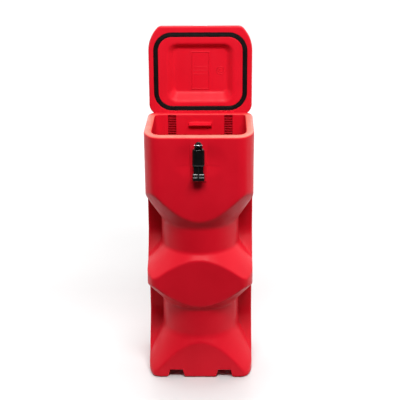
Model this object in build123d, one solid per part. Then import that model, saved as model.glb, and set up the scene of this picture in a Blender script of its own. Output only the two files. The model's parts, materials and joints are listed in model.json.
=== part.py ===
"""Top-opening vehicle box for a 6 kg fire extinguisher.

A tall red moulded shell with two waists that hold the bottle, a hollow moulded lid on
two pinned rear hinges, a rubber lid seal and a toggle latch with a wire bail.
Millimetres. +Z is up, +X is to the right and the latch side faces -Y. The origin is on
the ground under the axis of the waists. The lid is drawn closed and then turned open.
"""

from build123d import *
import os
from math import cos, radians, sqrt, tan

# ---- overall sizes ----
WIDTH = 250.0
HEIGHT = 610.0
FRONT_Y = -108.5          # front face at the rim
BACK_Y = 108.5            # flat back face
FRONT_DRAFT = 1.17        # degrees, the front leans back towards the base
WALL = 4.5

# ---- plan outline ----
FRONT_CORNER_R = 78.0     # large front corners, centred on FRONT_CORNER_Y
FRONT_CORNER_Y = FRONT_Y + 58.5
REAR_CORNER_R = 28.0

# ---- waists, as a profile turned about the Z axis ----
WAIST_R = 91.4
UPPER_WAIST = (322.0, 386.0)   # cylinder from and to
LOWER_WAIST = (107.0, 180.5)
UNDER_TOP_SLOPE = 1.57         # rise over run of each cone outside the waists
MID_SLOPE = 1.12
BASE_SLOPE = 1.75
CONE_REACH_R = 220.0           # beyond every corner of the plan
WING_Y = 16.0                  # the full-width rear part starts here
WING_CREASE_RISE = 20.0        # the wing slopes forward below this height over a waist
WING_SLOPE = 1.63

# ---- rim and mouth ----
RIM_SIDE = 17.5
RIM_FRONT = 21.5
RIM_REAR = 18.5
RIM_BAND = 52.0           # depth of the thick band under the rim
BAND_TAPER = 16.0

# ---- inside the back of the mouth ----
LADDER_X = 67.5
LADDER_WIDTH = 19.0
LADDER_RECESS = 1.5
LADDER_TOP_GAP = 4.0
RUNG_PITCH = 6.0
RUNG_GAP = 3.6
RUNG_COUNT = 10
RUNG_DEPTH = 3.0
LEDGE_WIDTH = 54.0
LEDGE_TOP_Z = HEIGHT - 21.0
LEDGE_THICK = 6.0
LEDGE_OUT = 11.0
LEDGE_FALL = 3.0          # its top slopes down to the front
LEDGE_ROOT = 16.0         # its height where it joins the wall

# ---- base ----
CHANNEL_INNER_X = 38.0
CHANNEL_OUTER_X = 78.0
CHANNEL_HEIGHT = 20.0
CHANNEL_TAPER = 5.0

# ---- threaded inserts in the back ----
INSERT_SPACING_X = WIDTH - 90.0
INSERT_LOW_Z = 150.0
INSERT_HIGH_Z = HEIGHT - 160.0
INSERT_R = 5.0
INSERT_THREAD_R = 3.0     # M6
INSERT_LENGTH = 12.0
INSERT_FLANGE_R = 7.0
INSERT_FLANGE = 1.0
BOSS_WALL = 4.0

# ---- hinges ----
KNUCKLE_R = 6.0
HINGE_Y = BACK_Y + KNUCKLE_R + 1.0
HINGE_DROP = 24.0         # from the rim down to the axis
HINGE_Z = HEIGHT - HINGE_DROP
HINGE_X = 69.0            # middle of each hinge
HINGE_WIDTH = 24.0
GUSSET_DROP = 21.6        # from the axis to the foot of each gusset
SHELF_TIP = 3.0           # thickness of the stop shelf at its end
LID_KNUCKLE_WIDTH = 9.0
KNUCKLE_GAP = 0.4
HINGE_PIN_R = 2.5
RUNNING_GAP = 0.05        # radial, in every pinned joint
PIN_HEAD_R = 4.0
PIN_HEAD = 1.6
PIN_STUB = 3.0            # pin beyond the knuckles, under the push-on cap
CAP_R = 4.2
CAP_LENGTH = 4.2
LID_OPEN = 92.5           # degrees from closed to the stop
STOP_GAP = 0.4

# ---- lid ----
LID_GAP = 0.5             # over the rim when closed
LID_THICK = 24.0
LID_EDGE_R = 7.0
LID_WALL = 4.0
RECESS_X = WIDTH / 2 - 46.0
RECESS_FRONT_Y = FRONT_Y + 41.5
RECESS_BACK_Y = BACK_Y - 34.5
RECESS_DEPTH = 15.0
RECESS_CORNER_R = 24.0
RECESS_SIDE_RUN = 14.5    # how far the sloped sides come in
RECESS_FRONT_RUN = 12.0
RECESS_BACK_RUN = 22.0
FRAME_WIDTH = 44.0
FRAME_LENGTH = 92.0
FRAME_BAR = 2.0
FRAME_RAISE = 0.8
DIAL_X = 48.5
DIAL_R = 9.5
DIAL_RAISE = 0.7
DIAL_LINE = 1.2
DIAL_POINTER = 1.4
VENT_R = 3.0
VENT_HEAD_R = 5.1
VENT_HEAD = 1.2

# ---- lid seal ----
SEAL_X = WIDTH / 2 - 12.0
SEAL_FRONT_Y = FRONT_Y + 14.5
SEAL_BACK_Y = BACK_Y - 12.5
SEAL_CORNER_R = 45.0
SEAL_WIDTH = 11.0
SEAL_GROOVE = 4.0
SEAL_PROUD = 0.3          # as pressed flat by the closed lid

# ---- latch ----
PAD_TOP_HALF = 19.7
PAD_FOOT_HALF = 17.5
PAD_FOOT_Z = HEIGHT - 104.0
PAD_TOP_GAP = 2.0         # below the rim
SCOOP_R = 160.0
SCOOP_DEPTH = 4.0
SCOOP_X = 24.0
SCOOP_Z = HEIGHT - 58.0
LATCH_BACKING = 9.0       # extra wall behind the latch
BACKING_HALF = 48.0
BACKING_DROP = 6.0        # below the foot of the pad
PLATE_THICK = 2.5
PLATE_HALF = 8.4
PLATE_FOOT_Z = HEIGHT - 97.0
HEAD_HALF = 7.6
LEVER_PIN_Z = HEIGHT - 18.0
LEVER_PIN_OUT = 6.5       # from the pad to the pin's axis
LEVER_PIN_R = 2.4
LEVER_HEAD_R = 3.5
LEVER_HEAD = 0.9
LEVER_RING = 0.7
EAR_INNER = 3.4
EAR_THICK = 1.9
EAR_R = 5.0
EAR_DROP = 7.6            # below the pin
ARM_GAP = 0.3
ARM_THICK = 2.0
LEVER_HALF = 10.6
LEVER_WEB_OUT = 10.5      # from the pad to the outer face of the web
LEVER_WEB = 2.0
LEVER_SIDE = 1.8
LEVER_WEB_TOP_Z = LEVER_PIN_Z - 9.0
LEVER_SIDE_TOP_Z = LEVER_PIN_Z - 5.0
LEVER_SIDE_R = 3.2        # rounded top of each side
LEVER_SIDE_GAP = 0.4      # over the plate
LEVER_FOOT_Z = LEVER_PIN_Z - 80.0
ARM_R = 3.7
ARM_FOOT_Z = LEVER_PIN_Z - 17.0
LIP_HALF = 13.3
LIP_OUT = 10.0
LIP_TOP_Z = LEVER_FOOT_Z + 15.0
LIP_SLOPE = 5.0
RIB_HALF = 1.0
RIB_TOP_Z = LEVER_FOOT_Z + 33.0
BAIL_PIVOT_Z = LEVER_PIN_Z - 10.0
BAIL_PIVOT_OUT = 5.2
BAIL_WIRE_R = 1.2
BAIL_SIDE_GAP = 0.35
BAIL_SLACK = 0.6          # over the strike plate, latched
BAIL_HOOK = 8.0
BAIL_BEND_R = 1.56
BAIL_ENTRY = 1.0          # how far the wire goes through each side of the lever
RIVET_R = 2.4
RIVET_HEAD_R = 4.2
RIVET_HEAD = 1.4
RIVET_DROPS = (38.0, 82.0)     # below the rim, in the thick band and below it
WASHER_R = 6.5
WASHER_THICK = 1.2

# ---- strike plate in the lid ----
STRIKE_HALF = 14.5
STRIKE_THICK = 1.5
POCKET_HALF = 16.0
POCKET_FLOOR = 3.0        # lid plastic under the plate
POCKET_HEIGHT = 16.0
POCKET_DEPTH = 9.0
SCREW_X = 8.0
SCREW_R = 1.6
SCREW_HEAD_R = 2.9
SCREW_HEAD = 1.3
SCREW_LENGTH = 9.0
SCREW_RISE = 10.0         # over the pocket's floor

SIDES = (-1.0, 1.0)


def box(x, y, z):
    """A block between two corners given as (low, high) pairs."""
    size = [high - low for low, high in (x, y, z)]
    middle = [(high + low) / 2 for low, high in (x, y, z)]
    return Pos(*middle) * Box(*size)


def x_rod(radius, x_low, x_high, y, z):
    """A round bar along X."""
    return Pos((x_low + x_high) / 2, y, z) * Rot(0, 90, 0) * Cylinder(radius, x_high - x_low)


def y_rod(radius, y_low, y_high, x, z):
    """A round bar along Y."""
    return Pos(x, (y_low + y_high) / 2, z) * Rot(90, 0, 0) * Cylinder(radius, y_high - y_low)


def side_profile(points, x_low, x_high):
    """A block whose YZ outline is given, between two X planes."""
    outline = Plane.YZ.offset(x_low) * make_face(Polyline(*points, close=True))
    return extrude(outline, amount=x_high - x_low)


# ---- the moulded shell ----

def plan(side, front, back, low, high):
    """The box outline with each face moved in, as a prism."""
    half = WIDTH / 2 - side
    centre_x = WIDTH / 2 - FRONT_CORNER_R
    corner = FRONT_CORNER_R - side
    front_y = FRONT_Y + front
    back_y = BACK_Y - back
    rear_r = max(REAR_CORNER_R - side, 2.0)
    rear = Pos(0, (FRONT_CORNER_Y + back_y) / 2) * Rectangle(2 * half, back_y - FRONT_CORNER_Y)
    rear = fillet(rear.vertices().group_by(Axis.Y)[-1], rear_r)
    nose = Pos(0, FRONT_CORNER_Y) * Rectangle(2 * centre_x, 2 * corner)
    for sign in SIDES:
        nose += Pos(sign * centre_x, FRONT_CORNER_Y) * Circle(corner)
    limit = Pos(0, (front_y + back_y) / 2) * Rectangle(WIDTH, back_y - front_y)
    return Pos(0, 0, low) * extrude((rear + nose) & limit, amount=high - low)


def waist_profile(inset):
    """Half section of the turned front part, moved in by inset."""
    def foot(z, slope, solid_above):
        shift = inset * (sqrt(1 + slope ** 2) - slope)
        return z + shift if solid_above else z - shift

    def cone(z, slope, sign):
        return (CONE_REACH_R, z + sign * slope * (CONE_REACH_R - radius))

    radius = WAIST_R - inset
    base_top = foot(LOWER_WAIST[0], BASE_SLOPE, False)
    mid_under = foot(LOWER_WAIST[1], MID_SLOPE, True)
    mid_top = foot(UPPER_WAIST[0], MID_SLOPE, False)
    top_under = foot(UPPER_WAIST[1], UNDER_TOP_SLOPE, True)
    mid_reach = radius + (mid_top - mid_under) / (2 * MID_SLOPE)
    points = [
        (0, inset - HEIGHT),
        (CONE_REACH_R, inset - HEIGHT),
        cone(base_top, BASE_SLOPE, -1),
        (radius, base_top),
        (radius, mid_under),
        (mid_reach, (mid_top + mid_under) / 2),
        (radius, mid_top),
        (radius, top_under),
        cone(top_under, UNDER_TOP_SLOPE, 1),
        (CONE_REACH_R, 2 * HEIGHT),
        (0, 2 * HEIGHT),
    ]
    section = Plane.XZ * make_face(Polyline(*points, close=True))
    return revolve(section, Axis.Z)


def rear_part(inset):
    """The full-width rear, whose front face slopes forward over each shoulder."""
    wing = WING_Y + inset
    drop = inset * (sqrt(1 + WING_SLOPE ** 2) - WING_SLOPE)
    mid = (LOWER_WAIST[1] + UPPER_WAIST[0]) / 2
    low_crease = LOWER_WAIST[0] + WING_CREASE_RISE - drop
    high_crease = UPPER_WAIST[0] + WING_CREASE_RISE - drop
    points = [
        (BACK_Y, 0),
        (wing - low_crease / WING_SLOPE, 0),
        (wing, low_crease),
        (wing, mid),
        (wing - (high_crease - mid) / WING_SLOPE, mid),
        (wing, high_crease),
        (wing, HEIGHT),
        (BACK_Y, HEIGHT),
    ]
    return side_profile(points, -WIDTH, WIDTH)


def front_limit(inset):
    """Everything behind the leaning front face."""
    lean = HEIGHT * tan(radians(FRONT_DRAFT))
    shift = inset / cos(radians(FRONT_DRAFT))
    points = [
        (FRONT_Y + shift, HEIGHT),
        (FRONT_Y + shift + lean, 0),
        (BACK_Y, 0),
        (BACK_Y, HEIGHT),
    ]
    return side_profile(points, -WIDTH, WIDTH)


def form(inset, low, high):
    """The whole outer shape, moved in by inset, between two heights."""
    envelope = plan(inset, 0, inset, low, high) & front_limit(inset)
    return envelope & (waist_profile(inset) + rear_part(inset))


def channels(grow):
    """The two channels under the base, front to back."""
    cuts = []
    for sign in SIDES:
        points = [
            (sign * (CHANNEL_INNER_X - grow), -1),
            (sign * (CHANNEL_INNER_X + CHANNEL_TAPER - grow), CHANNEL_HEIGHT + grow),
            (sign * (CHANNEL_OUTER_X - CHANNEL_TAPER + grow), CHANNEL_HEIGHT + grow),
            (sign * (CHANNEL_OUTER_X + grow), -1),
        ]
        outline = Plane.XZ.offset(-WIDTH) * make_face(Polyline(*points, close=True))
        cuts.append(extrude(outline, amount=2 * WIDTH))
    return Part() + cuts


def cavity():
    """The inside of the shell, from its floor to its mouth."""
    band_foot = HEIGHT - RIM_BAND
    taper_foot = band_foot - BAND_TAPER
    lean = (HEIGHT - taper_foot) * tan(radians(FRONT_DRAFT))
    inside = form(WALL, WALL, taper_foot) - channels(WALL)
    mouth = plan(RIM_SIDE, RIM_FRONT, RIM_REAR, band_foot, HEIGHT + 1)
    wide = plan(WALL, WALL + lean, WALL, taper_foot, band_foot)
    tapered = loft([wide.faces().sort_by(Axis.Z)[0], mouth.faces().sort_by(Axis.Z)[0]])
    return inside + tapered + mouth


def latch_pad():
    """The upright pad that the latch is riveted to, with more wall behind it."""
    top = HEIGHT - PAD_TOP_GAP
    points = [
        (-PAD_TOP_HALF, top),
        (PAD_TOP_HALF, top),
        (PAD_FOOT_HALF, PAD_FOOT_Z),
        (-PAD_FOOT_HALF, PAD_FOOT_Z),
    ]
    face = Plane.XZ.offset(-FRONT_Y) * make_face(Polyline(*points, close=True))
    return extrude(face, amount=-(WALL + LATCH_BACKING))


def scoops():
    """Shallow finger hollows beside the latch pad."""
    cuts = Part()
    for sign in SIDES:
        centre_y = FRONT_Y - SCOOP_R + SCOOP_DEPTH
        cuts += Pos(sign * SCOOP_X, centre_y, SCOOP_Z) * Sphere(SCOOP_R)
    return cuts - box((-PAD_FOOT_HALF, PAD_FOOT_HALF), (-WIDTH, 0), (0, HEIGHT))


def scoop_backing():
    """Wall behind the hollows, so that they stay as thick as the rest."""
    y = (FRONT_Y + WALL, FRONT_Y + WALL + LATCH_BACKING)
    return box((-BACKING_HALF, BACKING_HALF), y, (PAD_FOOT_Z - BACKING_DROP, HEIGHT - RIM_BAND))


def ladders():
    """Rows of shallow pockets inside the back, in line with the hinges."""
    wall_y = BACK_Y - RIM_REAR
    foot = HEIGHT - RUNG_COUNT * RUNG_PITCH
    cuts = []
    for sign in SIDES:
        x = (sign * LADDER_X - LADDER_WIDTH / 2, sign * LADDER_X + LADDER_WIDTH / 2)
        cuts.append(box(x, (wall_y - 1, wall_y + LADDER_RECESS), (foot, HEIGHT - LADDER_TOP_GAP)))
        for index in range(1, RUNG_COUNT):
            low = HEIGHT - (index + 1) * RUNG_PITCH + 1
            cuts.append(box(x, (wall_y - 1, wall_y + RUNG_DEPTH), (low, low + RUNG_GAP)))
    return Part() + cuts


def ledge():
    """The short shelf on the inside of the back wall."""
    wall_y = BACK_Y - RIM_REAR
    points = [
        (wall_y + 1, LEDGE_TOP_Z + 1),
        (wall_y - LEDGE_OUT, LEDGE_TOP_Z - LEDGE_FALL),
        (wall_y - LEDGE_OUT, LEDGE_TOP_Z - LEDGE_THICK),
        (wall_y + 1, LEDGE_TOP_Z - LEDGE_ROOT),
    ]
    return side_profile(points, -LEDGE_WIDTH / 2, LEDGE_WIDTH / 2)


def insert_places():
    """X and Z of each threaded insert in the back."""
    return [(sign * INSERT_SPACING_X / 2, z) for sign in SIDES for z in (INSERT_LOW_Z, INSERT_HIGH_Z)]


def hinge_edges(sign):
    """X planes of one hinge: outer knuckle, lid knuckle, inner knuckle."""
    middle = sign * HINGE_X
    gap = LID_KNUCKLE_WIDTH / 2 + KNUCKLE_GAP
    return [(middle - HINGE_WIDTH / 2, middle - gap), (middle + gap, middle + HINGE_WIDTH / 2)]


def shelf_line(y):
    """Height of the stop shelf that the open lid's knuckle lies on."""
    slope = tan(radians(LID_OPEN - 90))
    return HINGE_Z - (KNUCKLE_R + STOP_GAP) / cos(radians(LID_OPEN - 90)) - slope * (y - HINGE_Y)


def body_hinges():
    """Fixed knuckles with their gussets, and the shelf between them."""
    lugs = Part()
    gusset_out = HINGE_Y + KNUCKLE_R
    foot = HINGE_Z - GUSSET_DROP
    for sign in SIDES:
        for x_low, x_high in hinge_edges(sign):
            lugs += x_rod(KNUCKLE_R, x_low, x_high, HINGE_Y, HINGE_Z)
            web = [
                (BACK_Y - 1, HEIGHT),
                (HINGE_Y, HEIGHT),
                (HINGE_Y, HINGE_Z + KNUCKLE_R),
                (gusset_out, HINGE_Z),
                (gusset_out, HINGE_Z - KNUCKLE_R),
                (BACK_Y - 1, foot),
            ]
            lugs += side_profile(web, x_low, x_high)
        shelf_tip = gusset_out + KNUCKLE_R
        shelf = [
            (BACK_Y - 1, shelf_line(BACK_Y - 1)),
            (shelf_tip, shelf_line(shelf_tip)),
            (shelf_tip, shelf_line(shelf_tip) - SHELF_TIP),
            (BACK_Y - 1, foot - KNUCKLE_R),
        ]
        middle = sign * HINGE_X
        lugs += side_profile(shelf, middle - HINGE_WIDTH / 2, middle + HINGE_WIDTH / 2)
    return lugs


def body_shell():
    shell = form(0, 0, HEIGHT) + latch_pad()
    shell = shell - scoops() - cavity() - channels(0)
    shell += (scoop_backing() & form(1, 0, HEIGHT)) - scoops()
    shell = shell - ladders() + ledge() + body_hinges()
    for x, z in insert_places():
        shell += y_rod(INSERT_R + BOSS_WALL, BACK_Y - INSERT_LENGTH - BOSS_WALL, BACK_Y - 1, x, z)
    for x, z in insert_places():
        shell -= y_rod(INSERT_R, BACK_Y - INSERT_LENGTH, BACK_Y + 1, x, z)
        shell -= y_rod(INSERT_FLANGE_R, BACK_Y - INSERT_FLANGE, BACK_Y + 1, x, z)
    for sign in SIDES:
        middle = sign * HINGE_X
        shell -= x_rod(HINGE_PIN_R, middle - HINGE_WIDTH, middle + HINGE_WIDTH, HINGE_Y, HINGE_Z)
    for z, wall_y in rivet_places():
        shell -= y_rod(RIVET_R, FRONT_Y - 1, wall_y + 1, 0, z)
    return shell


def mount_inserts():
    """Four brass inserts with M6 threads."""
    group = Part()
    for x, z in insert_places():
        insert = y_rod(INSERT_R, BACK_Y - INSERT_LENGTH, BACK_Y, x, z)
        insert += y_rod(INSERT_FLANGE_R, BACK_Y - INSERT_FLANGE, BACK_Y, x, z)
        group += insert - y_rod(INSERT_THREAD_R, BACK_Y - INSERT_LENGTH + 1, BACK_Y + 1, x, z)
    return group


def hinge_pin(sign):
    """One steel pin, with its head towards the middle of the box."""
    inner = sign * (HINGE_X - HINGE_WIDTH / 2)
    outer = sign * (HINGE_X + HINGE_WIDTH / 2 + PIN_STUB)
    head = inner - sign * PIN_HEAD
    shaft = x_rod(HINGE_PIN_R, min(inner, outer), max(inner, outer), HINGE_Y, HINGE_Z)
    return shaft + x_rod(PIN_HEAD_R, min(inner, head), max(inner, head), HINGE_Y, HINGE_Z)


def pin_cap(sign):
    """The push-on cap over the outer end of a hinge pin."""
    near = sign * (HINGE_X + HINGE_WIDTH / 2)
    far = near + sign * CAP_LENGTH
    end = near + sign * PIN_STUB
    cap = x_rod(CAP_R, min(near, far), max(near, far), HINGE_Y, HINGE_Z)
    return cap - x_rod(HINGE_PIN_R, min(near, end), max(near, end), HINGE_Y, HINGE_Z)


# ---- the lid, drawn closed ----

LID_LOW = HEIGHT + LID_GAP
LID_HIGH = LID_LOW + LID_THICK


def turn_open(piece):
    """Turn a closed lid piece about the hinge axis to its open rest place."""
    place = Pos(0, HINGE_Y, HINGE_Z) * Rot(-LID_OPEN, 0, 0) * Pos(0, -HINGE_Y, -HINGE_Z)
    return place * piece


def rounded_block(half_x, front, back, radius, low, high):
    """A block with rounded upright corners."""
    face = Pos(0, (front + back) / 2) * RectangleRounded(2 * half_x, back - front, radius)
    return Pos(0, 0, low) * extrude(face, amount=high - low)


def lid_recess():
    """The tray-shaped hollow in the lid's inner face, with sloped sides."""
    mouth = Pos(0, (RECESS_FRONT_Y + RECESS_BACK_Y) / 2, LID_LOW)
    mouth *= RectangleRounded(2 * RECESS_X, RECESS_BACK_Y - RECESS_FRONT_Y, RECESS_CORNER_R)
    floor_front = RECESS_FRONT_Y + RECESS_FRONT_RUN
    floor_back = RECESS_BACK_Y - RECESS_BACK_RUN
    floor = Pos(0, (floor_front + floor_back) / 2, LID_LOW + RECESS_DEPTH)
    floor_half = RECESS_X - RECESS_SIDE_RUN
    floor *= RectangleRounded(2 * floor_half, floor_back - floor_front, RECESS_CORNER_R / 2)
    return loft([mouth, floor])


def floor_marks():
    """A raised blank frame and a dial ring on the floor of the recess."""
    top = LID_LOW + RECESS_DEPTH
    half_x = FRAME_WIDTH / 2
    half_y = FRAME_LENGTH / 2
    frame = box((-half_x, half_x), (-half_y, half_y), (top - FRAME_RAISE, top + 1))
    inner_x = half_x - FRAME_BAR
    inner_y = half_y - FRAME_BAR
    frame -= box((-inner_x, inner_x), (-inner_y, inner_y), (top - 2, top + 2))
    dial = Part()
    for radius in (DIAL_R, DIAL_R / 2):
        ring = Cylinder(radius, 2 * DIAL_RAISE) - Cylinder(radius - DIAL_LINE, 4 * DIAL_RAISE)
        dial += Pos(DIAL_X, 0, top) * ring
    pointer_x = (DIAL_X - DIAL_POINTER / 2, DIAL_X + DIAL_POINTER / 2)
    pointer = box(pointer_x, (-DIAL_R / 2, DIAL_R / 2), (top - DIAL_RAISE, top + 1))
    return frame + dial + pointer


def seal_ring(low, high):
    outer = rounded_block(SEAL_X, SEAL_FRONT_Y, SEAL_BACK_Y, SEAL_CORNER_R, low, high)
    inner_r = SEAL_CORNER_R - SEAL_WIDTH
    inner = (SEAL_X - SEAL_WIDTH, SEAL_FRONT_Y + SEAL_WIDTH, SEAL_BACK_Y - SEAL_WIDTH)
    return outer - rounded_block(*inner, inner_r, low - 1, high + 1)


def lid_hollow():
    """The moulded hollow that runs round the recess, behind the walls."""
    low = LID_LOW + SEAL_GROOVE + LID_WALL
    high = LID_HIGH - LID_WALL
    skin = LID_WALL + LID_EDGE_R / 2
    ring = plan(skin, skin, skin, low, high)
    grown = (RECESS_X + LID_WALL, RECESS_FRONT_Y - LID_WALL, RECESS_BACK_Y + LID_WALL)
    ring -= rounded_block(*grown, RECESS_CORNER_R, low - 1, high + 1)
    guard = POCKET_HALF + 2 * LID_WALL
    return ring - box((-guard, guard), (-WIDTH, 0), (low - 1, high + 1))


POCKET_LOW = LID_LOW + POCKET_FLOOR
POCKET_BACK = FRONT_Y + POCKET_DEPTH


def lid_knuckles():
    """The moving knuckle of each hinge, on an arm from the lid's rear edge."""
    lugs = Part()
    arm_top = LID_LOW + LID_THICK / 2
    front = BACK_Y + 1.0
    outline = [
        (front, HINGE_Z),
        (HINGE_Y + KNUCKLE_R, HINGE_Z),
        (HINGE_Y + KNUCKLE_R, arm_top - KNUCKLE_R),
        (BACK_Y - 2, arm_top + KNUCKLE_R),
        (BACK_Y - 2, LID_LOW),
        (front, LID_LOW),
    ]
    for sign in SIDES:
        low = sign * HINGE_X - LID_KNUCKLE_WIDTH / 2
        high = sign * HINGE_X + LID_KNUCKLE_WIDTH / 2
        lugs += side_profile(outline, low, high)
        lugs += x_rod(KNUCKLE_R, low, high, HINGE_Y, HINGE_Z)
    return lugs


def lid_shell():
    lid = plan(0, 0, 0, LID_LOW, LID_HIGH)
    lid = fillet(lid.faces().sort_by(Axis.Z)[-1].edges(), LID_EDGE_R)
    lid = lid - lid_hollow() - lid_recess() + floor_marks()
    lid -= seal_ring(LID_LOW - 1, LID_LOW + SEAL_GROOVE)
    pocket_z = (POCKET_LOW, POCKET_LOW + POCKET_HEIGHT)
    lid -= box((-POCKET_HALF, POCKET_HALF), (FRONT_Y - 1, POCKET_BACK), pocket_z)
    lid += lid_knuckles()
    for sign in SIDES:
        bore = HINGE_PIN_R + RUNNING_GAP
        middle = sign * HINGE_X
        lid -= x_rod(bore, middle - HINGE_WIDTH, middle + HINGE_WIDTH, HINGE_Y, HINGE_Z)
        screw_end = POCKET_BACK + SCREW_LENGTH
        lid -= y_rod(SCREW_R, POCKET_BACK - 1, screw_end, sign * SCREW_X, screw_z())
    lid -= y_rod(VENT_R, BACK_Y - 4 * LID_WALL, BACK_Y + 1, 0, vent_z())
    return lid


def vent_z():
    return (LID_LOW + SEAL_GROOVE + LID_HIGH) / 2


def screw_z():
    return POCKET_LOW + SCREW_RISE


def vent_plug():
    """The domed plug in the vent of the hollow lid."""
    plug = y_rod(VENT_R, BACK_Y - 2 * LID_WALL, BACK_Y, 0, vent_z())
    return plug + y_rod(VENT_HEAD_R, BACK_Y, BACK_Y + VENT_HEAD, 0, vent_z())


def strike_plate():
    """An L-shaped plate in the lid's pocket, which the bail pulls on."""
    x = (-STRIKE_HALF, STRIKE_HALF)
    back = (POCKET_BACK - STRIKE_THICK, POCKET_BACK)
    plate = box(x, back, (POCKET_LOW, POCKET_LOW + POCKET_HEIGHT - 1))
    plate += box(x, (FRONT_Y + 1, POCKET_BACK), (POCKET_LOW, POCKET_LOW + STRIKE_THICK))
    for sign in SIDES:
        near = POCKET_BACK - 2 * STRIKE_THICK
        plate -= y_rod(SCREW_R, near, POCKET_BACK + 1, sign * SCREW_X, screw_z())
    return plate


def strike_screws():
    group = Part()
    head_back = POCKET_BACK - STRIKE_THICK
    for sign in SIDES:
        group += y_rod(SCREW_R, head_back, head_back + SCREW_LENGTH, sign * SCREW_X, screw_z())
        group += y_rod(SCREW_HEAD_R, head_back - SCREW_HEAD, head_back, sign * SCREW_X, screw_z())
    return group


# ---- the latch ----

LEVER_PIN_Y = FRONT_Y - LEVER_PIN_OUT
BAIL_Y = FRONT_Y - BAIL_PIVOT_OUT
ARM_INNER = EAR_INNER + EAR_THICK + ARM_GAP
BAIL_X = LEVER_HALF + BAIL_SIDE_GAP + BAIL_WIRE_R
BAIL_LENGTH = POCKET_LOW + STRIKE_THICK + BAIL_WIRE_R + BAIL_SLACK - BAIL_PIVOT_Z


def latch_base():
    """The plate on the pad, with two ears for the lever's pin."""
    plate_y = (FRONT_Y - PLATE_THICK, FRONT_Y)
    plate = box((-PLATE_HALF, PLATE_HALF), plate_y, (PLATE_FOOT_Z, LEVER_PIN_Z - 2))
    plate += y_rod(HEAD_HALF, *plate_y, 0, LEVER_PIN_Z)
    for sign in SIDES:
        inner = sign * EAR_INNER
        outer = sign * (EAR_INNER + EAR_THICK)
        low, high = min(inner, outer), max(inner, outer)
        ear = box((low, high), (LEVER_PIN_Y, FRONT_Y), (LEVER_PIN_Z - EAR_DROP, LEVER_PIN_Z + EAR_R))
        ear += x_rod(EAR_R, low, high, LEVER_PIN_Y, LEVER_PIN_Z)
        plate += ear
    plate -= x_rod(LEVER_PIN_R, -WIDTH, WIDTH, LEVER_PIN_Y, LEVER_PIN_Z)
    for z, _ in rivet_places():
        plate -= y_rod(RIVET_R, FRONT_Y - 2 * PLATE_THICK, FRONT_Y + 1, 0, z)
    return plate


def rivet_places():
    """Height of each rivet, and Y of the wall's inner face there."""
    behind = (FRONT_Y + RIM_FRONT, FRONT_Y + WALL + LATCH_BACKING)
    return [(HEIGHT - drop, wall_y) for drop, wall_y in zip(RIVET_DROPS, behind)]


def latch_rivets():
    """Two rivets through the plate and the wall."""
    group = Part()
    front = FRONT_Y - PLATE_THICK
    for z, wall_y in rivet_places():
        back = wall_y + WASHER_THICK
        group += y_rod(RIVET_R, front, back, 0, z)
        group += y_rod(RIVET_HEAD_R, front - RIVET_HEAD, front, 0, z)
        group += y_rod(RIVET_HEAD_R, back, back + RIVET_HEAD, 0, z)
    return group


def rivet_washers():
    group = Part()
    for z, near in rivet_places():
        washer = y_rod(WASHER_R, near, near + WASHER_THICK, 0, z)
        group += washer - y_rod(RIVET_R, near - 1, near + WASHER_THICK + 1, 0, z)
    return group


def lever_pin():
    """The lever's pin, with a flat head at its right end."""
    reach = ARM_INNER + ARM_THICK + ARM_GAP / 2
    pin = x_rod(LEVER_PIN_R, -reach - LEVER_RING - 0.5, reach, LEVER_PIN_Y, LEVER_PIN_Z)
    return pin + x_rod(LEVER_HEAD_R, reach, reach + LEVER_HEAD, LEVER_PIN_Y, LEVER_PIN_Z)


def lever_ring():
    """The push-on ring at the left end of the lever's pin."""
    near = -(ARM_INNER + ARM_THICK + ARM_GAP / 2)
    ring = x_rod(LEVER_HEAD_R, near - LEVER_RING, near, LEVER_PIN_Y, LEVER_PIN_Z)
    return ring - x_rod(LEVER_PIN_R, near - 2 * LEVER_RING, near + 1, LEVER_PIN_Y, LEVER_PIN_Z)


def latch_lever():
    """A pressed channel with two pivot arms, a finger lip and a rib."""
    web_out = FRONT_Y - LEVER_WEB_OUT
    web_in = web_out + LEVER_WEB
    lever = box((-LEVER_HALF, LEVER_HALF), (web_out, web_in), (LEVER_FOOT_Z, LEVER_WEB_TOP_Z))
    side_in = FRONT_Y - PLATE_THICK - LEVER_SIDE_GAP
    side_top = LEVER_SIDE_TOP_Z - LEVER_SIDE_R
    for sign in SIDES:
        inner, outer = sign * (LEVER_HALF - LEVER_SIDE), sign * LEVER_HALF
        low, high = min(inner, outer), max(inner, outer)
        lever += box((low, high), (web_in, side_in), (LEVER_FOOT_Z, side_top))
        lever += x_rod(LEVER_SIDE_R, low, high, side_in - LEVER_SIDE_R, side_top)
        arm_in, arm_out = sign * ARM_INNER, sign * (ARM_INNER + ARM_THICK)
        low, high = min(arm_in, arm_out), max(arm_in, arm_out)
        arm = box((low, high), (web_out, LEVER_PIN_Y + ARM_R / 2), (ARM_FOOT_Z, LEVER_PIN_Z))
        lever += arm + x_rod(ARM_R, low, high, LEVER_PIN_Y, LEVER_PIN_Z)
    lip = [
        (web_in, LIP_TOP_Z + LIP_SLOPE),
        (web_out, LIP_TOP_Z),
        (web_out - LIP_OUT, LIP_TOP_Z - LIP_SLOPE),
        (web_out - LIP_OUT, LEVER_FOOT_Z + 2),
        (web_out, LEVER_FOOT_Z),
        (web_in, LEVER_FOOT_Z),
    ]
    lever += side_profile(lip, -LIP_HALF, LIP_HALF)
    rib = [
        (web_in, RIB_TOP_Z),
        (web_out, RIB_TOP_Z),
        (web_out - LIP_OUT, LIP_TOP_Z - LIP_SLOPE),
        (web_in, LIP_TOP_Z),
    ]
    lever += side_profile(rib, -RIB_HALF, RIB_HALF)
    lever -= x_rod(LEVER_PIN_R + RUNNING_GAP, -WIDTH, WIDTH, LEVER_PIN_Y, LEVER_PIN_Z)
    return lever - x_rod(BAIL_WIRE_R + RUNNING_GAP, -WIDTH, WIDTH, BAIL_Y, BAIL_PIVOT_Z)


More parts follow.
